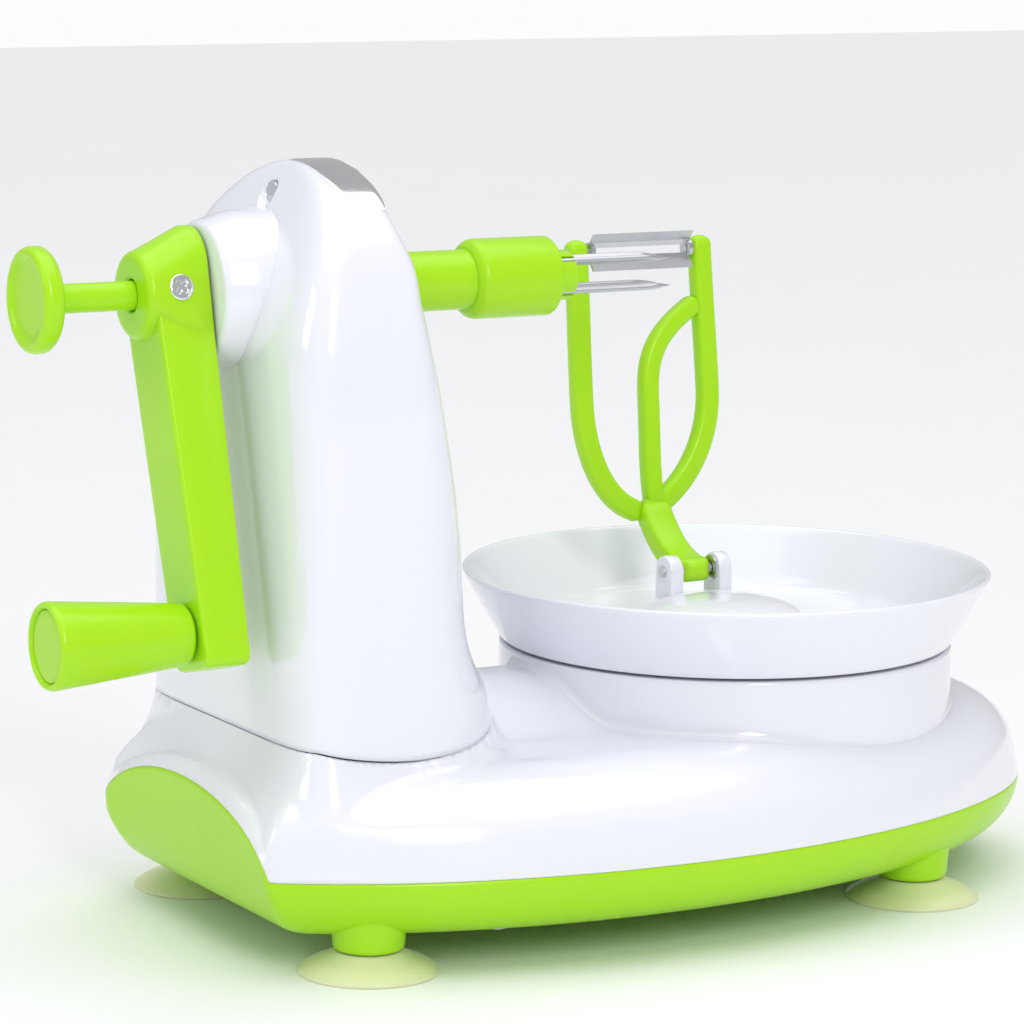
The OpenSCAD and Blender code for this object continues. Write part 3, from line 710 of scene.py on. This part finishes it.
@dataclass
class Tower:
    """The white tower with its barrel, boss and bright crest."""

    form: BaseForm
    crest: float = 193.5
    half: float = 49.0
    spring: float = 100.0
    spindle_z: float = SPINDLE_Z
    wall: float = WALL
    foot_rise: float = 25.0
    lean: float = 19.0
    lean_from: float = 150.0
    box_from: float = 160.0
    box_rise: float = 22.0
    front_z: tuple[float, ...] = (45, 52, 60, 70, 80, 90, 100, 115, 130, 145, 160, 170, 178, 185, 200)
    front_x: tuple[float, ...] = (
        -23.8, -24, -25.8, -30.4, -33.6, -34.8, -35.5, -37.6, -41.2, -45, -49.4, -52.6, -56, -57.4, -57.6)
    recess_y: float = 2.0
    recess_z: float = 185.5
    recess_radius: float = 3.1
    recess_floor: float = -72.3
    strip_middle: tuple[float, float] = (-63.6, -13.0)
    strip_half: tuple[float, float] = (5.4, 17.0)

    def half_at(self, z: Array) -> Array:
        """Half width at a height: level, then closing over the crest as the square root of 1 - q^4."""
        closing = np.clip((z - self.spring) / (self.crest - self.spring), 0, 1)
        return self.half * np.sqrt(np.maximum(0, 1 - closing**4))

    def section(self, t: Array, z: Array) -> tuple[Array, Array]:
        """Plan of the tower: squared-off ovals, boxy at the back and rounder in front.

        A round recess for the crest screw is pressed into the back.

        Args:
            t: Angles round the plan.
            z: Heights.

        Returns:
            x and y of each point.
        """
        box = smooth((z - self.box_from) / self.box_rise)
        middle = self.form.foot_x - 3.5 * box
        lean = np.clip((z - self.lean_from) / (self.crest - self.lean_from), 0, 1) ** 1.5
        back = self.form.foot_back + self.lean * lean
        front = flow(z, self.front_z, self.front_x)
        c, s = np.cos(t), np.sin(t)
        power = np.where(c < 0, self.form.back_power, self.form.front_power + 3.5 * box)
        limit = np.where(c < 0, back, front)
        reach = (np.abs(c) ** power + np.abs(s) ** power) ** (-1 / power)
        x, y = middle + (limit - middle) * np.abs(c) * reach, self.half_at(z) * s * reach
        off = np.hypot(y - self.recess_y, z - self.recess_z) / self.recess_radius
        dent = (1 - smooth((off - 0.86) / 0.28)) * (c < 0)
        return x + dent * np.maximum(0, self.recess_floor - x), y

    def shell(self) -> None:
        """The tower's skin: sections from the seam over the base up to the crest, where the sides meet."""
        t = circle(320)
        base = self.form.seam_low
        foot = base + self.foot_rise * np.linspace(0, 1, 16)[:, None]
        x, y = self.section(t, foot)
        ground = self.form.top(x[0], y[0], 40.0) + 0.3
        low = ground + (base + self.foot_rise - ground) * (foot - base) / self.foot_rise
        straight = np.linspace(77, 148, 34)[:, None]
        height = self.crest - self.spring
        turn = np.linspace(np.arcsin(((150 - self.spring) / height) ** 2), np.pi / 2, 60)[:, None]
        cap = self.spring + height * np.sqrt(np.sin(turn))
        z = np.concatenate([low, straight + 0 * t, cap + 0 * t])
        upper = np.concatenate([straight, cap])
        xu, yu = self.section(t, upper)
        skin = Skin().grid(np.stack([np.concatenate([x, xu]), np.concatenate([y, yu]), z], -1))
        skin.piece("tower", PEARL, "base", ("tower_shell",), wall=self.wall)

    def barrel(self) -> None:
        """The barrel behind the crank and the boss in front of it, both turned about the spindle."""
        skin = Skin().grid(turned_x(rounded([
            (-72.6, 9.6, 0), (-72.6, 20.4, 0), (-86, 20.0, 3), (-94.6, 17.6, 1.2), (-95.4, 16.6, 0.8),
            (-95.4, 9.6, 0.3)]), 0, self.spindle_z, 128), loop=True)
        skin.grid(turned_x(rounded([
            (-60, 9.6, 0), (-60, 15.5, 0), (-50, 15.5, 4), (-45, 12.6, 3), (-41.4, 11, 1),
            (-40.2, 10.4, 0.8), (-40.2, 9.6, 0.2)]), 0, self.spindle_z, 128), loop=True)
        skin.piece("barrel", PEARL, "base")

    def crest_height(self, y: Array) -> Array:
        """Height of the crest line at y."""
        return self.spring + (self.crest - self.spring) * np.maximum(0, 1 - (y / self.half) ** 2) ** 0.25

    def strip(self) -> None:
        """The bright strip laid over the crest: a rounded rectangle in rings, bent to the crest line."""
        ring = np.linspace(0, 1, 26)[:, None]
        t = circle(160)
        square = 2 / 9
        x = self.strip_middle[0] + self.strip_half[0] * ring * squared(np.cos(t), square)
        y = self.strip_middle[1] + self.strip_half[1] * ring * squared(np.sin(t), square)
        z = self.crest_height(y) + 0.12 + 0.22 * (1 - ring**14)
        top = np.stack([x, y, z], -1)
        under = np.stack([x[-1], y[-1], self.crest_height(y[-1]) - 0.2], -1)[None]
        Skin().grid(np.concatenate([top, under])).piece("crest_trim", CHROME, "base", ("crest_strip",))

    def build(self) -> None:
        """Builds the whole tower."""
        self.shell()
        self.barrel()
        self.strip()
        dress(STEEL, "tower_screws", "crest_screw")
        dress(NYLON, "rear_bush", "front_bush", "top_bracket")


# ---- Turning parts ----


@dataclass
class Spindle:
    """The green spindle tube with its collar, and the steel fork."""

    z: float = SPINDLE_Z
    radius: float = 7.6
    pocket: float = -20.0
    prong_middle: float = 5.1
    prong_half: float = 0.6
    prong_end: float = 38.0
    point: float = 7.0

    def tube(self) -> None:
        """The tube: bored through for the rod, with a wide collar round the pocket at its end."""
        Skin().grid(turned_x(rounded([
            (-109, 3.68, 0), (-76, 3.68, 0), (-76, 5.5, 0), (self.pocket, 5.5, 0), (self.pocket, 6.48, 0),
            (3, 6.48, 0.4), (3, 10.2, 1.1), (-19.4, 10.2, 1.6), (-21, 8.4, 0.7), (-21, self.radius, 0.3),
            (-95.9, self.radius, 0.2), (-95.9, 6, 0.2), (-109, 6, 0.3)]), 0, self.z, 128), loop=True).piece(
                "spindle_tube", LIME, "crank", ("spindle",))

    def fork(self) -> None:
        """Four flat prongs on a disc: each a thin rounded bar whose end closes to a point."""
        skin = Skin().grid(turned_x(rounded([
            (self.pocket, 3.9, 0.1), (-18, 3.9, 0.1), (-18, 6.4, 0.2), (self.pocket, 6.4, 0.2)]),
            0, self.z, 64), loop=True)
        start = self.prong_end - self.point
        shaft = np.linspace(-19, start - 1, 20)
        x = np.concatenate([shaft, np.linspace(start, self.prong_end, 10)])[:, None]
        high = np.clip((self.prong_end - x) / self.point, 0.02, 1) ** 0.8
        a = circle(24)
        radial = self.prong_middle + high * squared(np.cos(a), 0.4)
        side = self.prong_half * np.clip(high * 1.5, 0.05, 1) * squared(np.sin(a), 0.4)
        for turn in np.radians(PRONG_TURNS):
            y = side * np.cos(turn) - radial * np.sin(turn)
            z = side * np.sin(turn) + radial * np.cos(turn)
            skin.grid(capped(np.stack([x + 0 * a, y, self.z + z], -1)))
        skin.piece("fork", STEEL, "crank", ("fork_prongs",))

    def build(self) -> None:
        """Builds the spindle."""
        self.tube()
        self.fork()
        dress(NYLON, "worm")


@dataclass
class Crank:
    """The crank: a boss blended into a flat-sided arm, with a screw and a turning grip."""

    z: float = SPINDLE_Z
    swing: float = 14.6
    throw: float = 83.0
    back: float = -96.0
    front: float = -110.75
    half_width: float = 9.5
    tip: float = -89.6
    tip_round: float = 2.4
    screw_x: float = -104.0
    screw_radius: float = 3.15

    def hang(self, p: Array) -> Array:
        """Turns points given for an arm straight down, measured from the spindle, to where it hangs.

        Args:
            p: Points, with the spindle's axis at zero.

        Returns:
            The points in their place.
        """
        c, s = np.cos(np.radians(-self.swing)), np.sin(np.radians(-self.swing))
        x, y, z = np.moveaxis(p, -1, 0)
        return np.stack([x, y * c - z * s, self.z + y * s + z * c], -1)

    def head(self) -> Array:
        """The boss: a round front drawn back to a tall rounded outline, closed round the spindle's bore.

        Returns:
            Grid of points whose last row joins the first.
        """
        arc = np.linspace(0, np.pi, 49)
        angle = np.concatenate([arc, [np.pi] * 7, arc + np.pi, [2 * np.pi] * 7])
        straight = np.linspace(0, 1, 9)[1:-1]
        upper = np.concatenate([np.ones(49), 1 - straight, np.zeros(49), straight])
        side, rise = np.cos(angle), np.sin(angle)
        back = np.stack([(9.5 + 0.4 * upper) * side, -10 + 16 * upper + (9.5 + 1.1 * upper) * rise], -1)
        unit = np.stack([side, rise], -1)
        turn = np.linspace(0, np.pi / 2, 7)
        rows = [(-109.2, unit * 4.1), (-112.6, unit * 4.1), (-113, unit * 4.5)]
        rows += [(-111 - 2 * np.cos(a), unit * (9 + 2 * np.sin(a))) for a in turn]
        rows += [(-111 + 12 * k, unit * 11 * (1 - k) + back * k) for k in np.linspace(0, 1, 14)[1:]]
        rows += [(-96.5, back), (-96.1, back * 0.985), (self.back, back * 0.96)]
        rows += [(self.back, unit * 6.05), (-109.2, unit * 6.05)]
        return np.stack([np.concatenate([np.full((len(p), 1), x), p], 1) for x, p in rows])

    def bar(self) -> Array:
        """The arm: a flat bar with soft edges that thins towards the grip, with a rounded end.

        Returns:
            Grid of points, rows along the arm.
        """
        end = self.tip - self.tip_round * np.sin(np.linspace(0, np.pi / 2, 8))[1:]
        run = np.concatenate([np.linspace(3, self.tip, 40), end])
        pull = self.tip_round * (1 - np.sqrt(1 - ((self.tip - run) / self.tip_round).clip(0, 1) ** 2))
        front = self.front + 3.1 * (-run - 2) / 88
        corners = rounded([(-1, -1, 0.13), (1, -1, 0.06), (1, 1, 0.06), (-1, 1, 0.13)], 7)
        depth = (self.back - front) / 2 - pull * 0.45
        middle = (self.back + front) / 2
        x = middle[:, None] + depth[:, None] * corners[None, :, 0]
        y = (self.half_width - pull)[:, None] * corners[None, :, 1]
        return capped(np.stack([x, y, run[:, None] + 0 * x], -1))

    def arm(self) -> None:
        """The boss and the bar as one piece."""
        Skin().grid(self.hang(self.head()), loop=True).grid(self.hang(self.bar())).piece(
            "crank", LIME, "crank", ("crank_arm",), sharp=28)

    def screw(self) -> None:
        """The screw: a low dome with a cross cut into it, on a straight shank, in the arm's near side."""
        ring = np.linspace(0, 1, 40)[:, None]
        a = circle(144)
        r = self.screw_radius * ring
        u, v = r * np.cos(a), r * np.sin(a)
        slot = np.minimum(np.abs(u + v), np.abs(u - v)) / np.sqrt(2)
        cross = (1 - smooth((slot - 0.4) / 0.25)) * (1 - smooth((r - 1.7) / 0.4))
        out = 10.6 + 0.35 * np.sqrt(np.maximum(0, 1 - ring**2.5)) - 0.5 * cross
        face = np.stack([self.screw_x + u, -out, v], -1)
        shank = ((self.screw_radius, 8.4), (1.25, 8.4), (1.25, 4.2), (0, 4.2))
        low = [np.stack([self.screw_x + k * np.cos(a), -d + 0 * a, k * np.sin(a)], -1) for k, d in shank]
        Skin().grid(self.hang(np.concatenate([face, np.stack(low)]))).piece(
            "arm_screw", CHROME, "crank", ("crank_screw",))

    def grip(self) -> None:
        """The grip: a cone that widens to its end, with a rim round a recessed cap."""
        s, c = np.sin(np.radians(self.swing)), np.cos(np.radians(self.swing))
        y, z = -self.throw * s, self.z - self.throw * c
        cone = rounded([
            (-108.5, 2.57, 0.1), (-108.5, 6.9, 0.5), (-109.3, 7.7, 0.8), (-143.9, 10.85, 0.9),
            (-145, 10.3, 0.5), (-145, 9.5, 0.35), (-144.1, 8.95, 0.3), (-143.4, 8.95, 0), (-143.4, 4.5, 0),
            (-138.8, 4.5, 0), (-138.8, 2.57, 0)])
        cap = rounded([
            (-143.45, 0, 0), (-143.45, 8.85, 0.1), (-144.2, 8.85, 0.3), (-144.4, 7.5, 0.4), (-144.3, 0, 0)],
            closed=False)
        Skin().grid(turned_x(cone, y, z, 112), loop=True).piece("grip", LIME, "grip", ("crank_grip",))
        Skin().grid(turned_x(cap, y, z, 96)).piece("grip_end", LIME, "grip", ("grip_cap",))

    def build(self) -> None:
        """Builds the crank."""
        self.arm()
        self.screw()
        self.grip()
        dress(STEEL, "grip_pin")


@dataclass
class Ejector:
    """The push rod with its knob and the slotted head that frees the apple."""

    z: float = SPINDLE_Z
    radius: float = 3.6
    head_radius: float = 6.4
    slot: float = 0.9
    slot_floor: float = 3.8

    def knob(self) -> None:
        """The knob: a disc with a thick round rim and a shallow dish."""
        Skin().grid(turned_x(rounded([
            (-139.2, 0, 0), (-139.3, 9.2, 1.6), (-140.5, 10.6, 0.7), (-140.4, 12.2, 0.9), (-139.2, 13, 0.8),
            (-136.4, 13, 0.9), (-134.8, 11.6, 1.2), (-134.3, 5.6, 1.2), (-133, 4.2, 0.4), (-133, 0, 0)],
            closed=False), 0, self.z, 128)).piece("knob", LIME, "ejector", ("push_knob",))

    def rod(self) -> None:
        """The rod, with the flange that the spring pushes on and its thinner end."""
        Skin().grid(turned_x(rounded([
            (-133, 0, 0), (-133, self.radius, 0.1), (-75.9, self.radius, 0.2), (-75.9, 5.3, 0.2),
            (-74, 5.3, 0.2), (-74, self.radius, 0.2), (-17.8, self.radius, 0.1), (-17.8, 2.5, 0.1),
            (-6, 2.5, 0.2), (-6, 0, 0)], closed=False), 0, self.z, 96)).piece(
                "rod", LIME, "ejector", ("push_rod",))

    def head(self) -> None:
        """The head: a round bar with four deep slots, carried along the spindle, its end edge rounded."""
        outline = []
        lean = np.arcsin(self.slot / self.head_radius)
        for turn in np.radians(PRONG_TURNS):
            arc = np.linspace(turn + lean, turn + np.pi / 2 - lean, 20)
            next_turn = turn + np.pi / 2
            along = np.array([np.cos(next_turn), np.sin(next_turn)])
            across = np.array([-along[1], along[0]])
            floor = self.slot_floor * along
            deep = np.array([floor - self.slot * across, floor + self.slot * across])
            outline += [np.stack([np.cos(arc), np.sin(arc)], -1) * self.head_radius, deep]
        ring = np.concatenate(outline)
        rows = [(-17.6, 0.0), (-17.6, 0.97), (-17.4, 1.0)]
        rows += [(8.4, 1.0), (8.8, 0.985), (9.1, 0.95), (9.2, 0.9), (9.2, 0.0)]
        grid = np.stack([
            np.concatenate([np.full((len(ring), 1), x), ring[:, :1] * k, self.z + ring[:, 1:] * k], 1)
            for x, k in rows])
        Skin().grid(grid).piece("ejector", LIME, "ejector", ("ejector_head",))

    def build(self) -> None:
        """Builds the ejector."""
        self.knob()
        self.rod()
        self.head()
        dress(STEEL, "eject_spring")


# ---- Bowl and blade arm ----


@dataclass
class Bowl:
    """The round bowl that catches the peel."""

    x: float = BOWL_X
    rim: float = 70.0

    def build(self) -> None:
        """The bowl: a flat floor, a cone for its wall, and a thin rolled rim, turned about its axis."""
        Skin().grid(turned_z(rounded([
            (13, 65.4, 0.3), (13, 68.4, 0.5), (15, 68.4, 0.5), (15.4, 66.4, 0.6), (57.2, 66.2, 3),
            (59.4, 68.6, 2), (67.6, 81.0, 1.2), (68.5, 82.2, 0.4), (69.4, 82.45, 0.4), (self.rim, 81.9, 0.4),
            (69.7, 80.9, 0.6), (60.4, 64.9, 0.8), (59.6, 63.75, 0.7), (56.6, 63.6, 0.4), (56, 64.2, 0.4),
            (54, 64.2, 0), (54, 63.06, 0), (50, 63.06, 0), (50, 64.2, 0), (13.4, 64.2, 0.3)], 8),
            self.x, 0, 256), loop=True).piece("bowl", PEARL, "base", ("peel_bowl",))


@dataclass
class PeelerArm:
    """The domed hub in the bowl, and the forked arm that carries the blade."""

    x: float = BOWL_X
    hinge_y: float = 16.0
    hinge_z: float = 79.0
    lean: float = 7.0
    head_y: float = 38.5
    head_z: float = 88.0
    ear_radius: float = 4.2
    ear_gap: float = 7.6

    def hub(self) -> None:
        """The hub: a low dome turned about the post, with two ears for the hinge pin."""
        skin = Skin().grid(turned_z(rounded([
            (6.02, 66.6, 0.2), (9, 66.6, 0.3), (9, 70.6, 0.3), (18, 70.6, 0.3), (18, 68.8, 0.3),
            (20.9, 68.8, 0.5), (21.3, 69.7, 0.5), (19.5, 71.8, 1.5), (15, 73.4, 2), (9, 74.4, 2),
            (0.01, 74.8, 0), (0.01, 70.6, 0), (6.02, 70.6, 0)]), self.x, 0, 128), loop=True)
        round_top = np.linspace(0, np.pi, 25)
        ear = self.ear_radius
        outline = np.concatenate([
            np.stack([self.hinge_y + ear * np.cos(round_top), self.hinge_z + ear * np.sin(round_top)], -1),
            [[self.hinge_y - ear, 71.0], [self.hinge_y + ear, 71.0]]])
        centre = np.array([self.hinge_y, 76.5])
        half = [(-2, 0.0), (-2, 0.9), (-1.85, 0.97), (-1.5, 1.0)]
        rows = half + [(-d, k) for d, k in half[::-1]]
        for side in (-1, 1):
            middle = self.x + side * self.ear_gap
            sheets = [(np.full((len(outline), 1), middle + d), centre + (outline - centre) * k)
                      for d, k in rows]
            skin.grid(np.stack([np.concatenate(sheet, 1) for sheet in sheets]))
        skin.piece("hub", PEARL, "turntable", ("arm_hub",))

    def in_head(self, path: Array) -> Array:
        """Places a flat path in the leaning plane of the arm's head.

        Args:
            path: Each (across, up), (n, 2).

        Returns:
            The points in their place, (n, 3).
        """
        c, s = np.cos(np.radians(self.lean)), np.sin(np.radians(self.lean))
        across, up = path.T
        return np.stack([self.x + across, self.head_y + up * s, self.head_z + up * c], -1)

    def arm(self) -> None:
        """The arm: two outer bars and a middle bar in the head's plane, and a neck down to the hinge."""
        face = np.array([0, -np.cos(np.radians(self.lean)), np.sin(np.radians(self.lean))])
        skin = Skin()
        bars = [
            ([(-3, 3.5), (-13, 5), (-20, 18), (-20, 34), (-20, 48), (-19.5, 58), (-19.5, 78)], 6.0),
            ([(-3, 3.5), (7, 5), (20, 18), (20, 36), (20, 50), (19.5, 60), (19.5, 78)], 6.0),
            ([(1.5, 4), (0, 14), (1, 22), (1, 34), (1, 46), (4, 52), (18, 60)], 5.4),
        ]
        for points, width in bars:
            skin.grid(swept(self.in_head(bezier(points)), face, width, 5.0))
        neck = bezier([(12.9, 79), (22, 78.2), (31, 82), (38.9, 94)])
        line = np.stack([np.full(len(neck), self.x), neck[:, 0], neck[:, 1]], -1)
        skin.grid(swept(line, np.array([1.0, 0, 0]), 6.4, 9.0, 5))
        skin.piece("blade_arm", LIME, "arm", ("peeler_arm",))

    def build(self) -> None:
        """Builds the hub and the arm."""
        self.hub()
        self.arm()
        dress(STEEL, "arm_post", "arm_pin", "arm_spring", "blade_pins", "blade")


@dataclass
class GearTrain:
    """The gears and shafts inside the base, which keep their frame shapes."""

    gears: tuple[str, ...] = (
        "gear_deck", "worm_wheel", "drive_pinion", "idler_gear", "arm_gear", "post_bush")
    shafts: tuple[str, ...] = ("deck_screws", "layshaft", "idler_pin")

    def build(self) -> None:
        """Dresses the gears in nylon and the shafts in steel."""
        dress(NYLON, *self.gears)
        dress(STEEL, *self.shafts)


# ---- Studio ----


@dataclass
class Studio:
    """Floor, light and camera."""

    eye: Place = (-0.5301, -0.9301, 0.2739)
    aim: Place = (-0.00967, 0.0, 0.09976)
    roll: float = 0.57
    lens: float = 148.0
    shift: tuple[float, float] = (0.0115, 0.0070)
    floor_half: float = 4.0
    floor_count: int = 12
    sky_light: float = 0.5
    sky_seen: float = 1.0

    def camera(self) -> None:
        """The camera, level but for a slight roll."""
        made = bpy.data.cameras.new("camera")
        made.lens, made.sensor_width = self.lens, 36.0
        made.shift_x, made.shift_y = self.shift
        made.clip_start, made.clip_end = 0.01, 60
        thing = bpy.data.objects.new("camera", made)
        bpy.context.scene.collection.objects.link(thing)
        back = (Vector(self.eye) - Vector(self.aim)).normalized()
        right = Vector((0, 0, 1)).cross(back).normalized()
        up = back.cross(right)
        turn = np.radians(self.roll)
        right, up = right * np.cos(turn) + up * np.sin(turn), up * np.cos(turn) - right * np.sin(turn)
        thing.matrix_world = Matrix((
            (right.x, up.x, back.x, self.eye[0]), (right.y, up.y, back.y, self.eye[1]),
            (right.z, up.z, back.z, self.eye[2]), (0, 0, 0, 1)))
        bpy.context.scene.camera = thing

    def lamp(self, name: str, place: Place, size: tuple[float, float], power: float, colour: Colour) -> None:
        """A rectangular soft light that faces the middle of the object.

        Args:
            name: Name of the light.
            place: Where it stands, in metres.
            size: Its width and height, in metres.
            power: Its power, in watts.
            colour: Its colour.
        """
        made = bpy.data.lights.new(name, "AREA")
        made.shape, made.size, made.size_y = "RECTANGLE", size[0], size[1]
        made.energy, made.color = power, colour
        thing = bpy.data.objects.new(name, made)
        thing.location = place
        aim = Vector((0, 0, 0.1)) - Vector(place)
        thing.rotation_euler = aim.to_track_quat("-Z", "Y").to_euler()
        bpy.context.scene.collection.objects.link(thing)

    def overhead(self) -> None:
        """A broad light straight from above, which evens out the floor."""
        made = bpy.data.lights.new("overhead", "SUN")
        made.energy, made.angle = 1.5, np.radians(70)
        bpy.context.scene.collection.objects.link(bpy.data.objects.new("overhead", made))

    def floor(self) -> None:
        """A plain pale floor."""
        count = self.floor_count
        side = np.linspace(-self.floor_half, self.floor_half, count)
        x, y = np.meshgrid(side, side)
        grid = np.stack([x, y, 0 * x], -1)
        mesh = bpy.data.meshes.new("floor")
        index = np.arange(count * count).reshape(count, count)
        quads = np.stack([index[:-1, :-1], index[:-1, 1:], index[1:, 1:], index[1:, :-1]], -1).reshape(-1, 4)
        mesh.from_pydata(grid.reshape(-1, 3).tolist(), [], quads.tolist())
        mesh.materials.append(FLOOR.material())
        thing = bpy.data.objects.new("floor", mesh)
        bpy.context.scene.collection.objects.link(thing)
        thing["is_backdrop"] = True

    def sky(self) -> None:
        """A pale surround: dimmer as a light than where the camera sees it."""
        world = bpy.data.worlds.new("studio")
        world.use_nodes = True
        nodes, links = world.node_tree.nodes, world.node_tree.links
        pale = nodes["Background"]
        pale.inputs["Color"].default_value = (0.97, 0.98, 1.0, 1)
        seen = nodes.new("ShaderNodeLightPath")
        strength = nodes.new("ShaderNodeMapRange")
        strength.inputs["To Min"].default_value = self.sky_light
        strength.inputs["To Max"].default_value = self.sky_seen
        links.new(seen.outputs["Is Camera Ray"], strength.inputs["Value"])
        links.new(strength.outputs["Result"], pale.inputs["Strength"])
        bpy.context.scene.world = world
        bpy.context.scene.view_settings.view_transform = "Standard"

    def build(self) -> None:
        """Builds the studio."""
        self.camera()
        self.floor()
        self.sky()
        self.lamp("key", (-0.3, -1.7, 1.1), (0.35, 0.9), 11, (1.0, 0.99, 0.97))
        self.lamp("side", (-1.5, 0.2, 0.8), (0.5, 0.7), 3, (0.95, 0.97, 1.0))
        self.overhead()


def corners() -> list[list[float]]:
    """The object's lowest and highest corners, as plain lists."""
    return [list(c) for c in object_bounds()]


def main() -> None:
    """Builds every piece in order."""
    logging.basicConfig(level=logging.INFO, format="%(name)s: %(message)s")
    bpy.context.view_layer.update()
    Studio().build()
    form = BaseForm()
    for part in (Base(form), Tower(form), Spindle(), Crank(), Ejector(), Bowl(), PeelerArm(), GearTrain()):
        log.info("building %s", type(part).__name__)
        part.build()


if __name__ == "__main__":
    main()
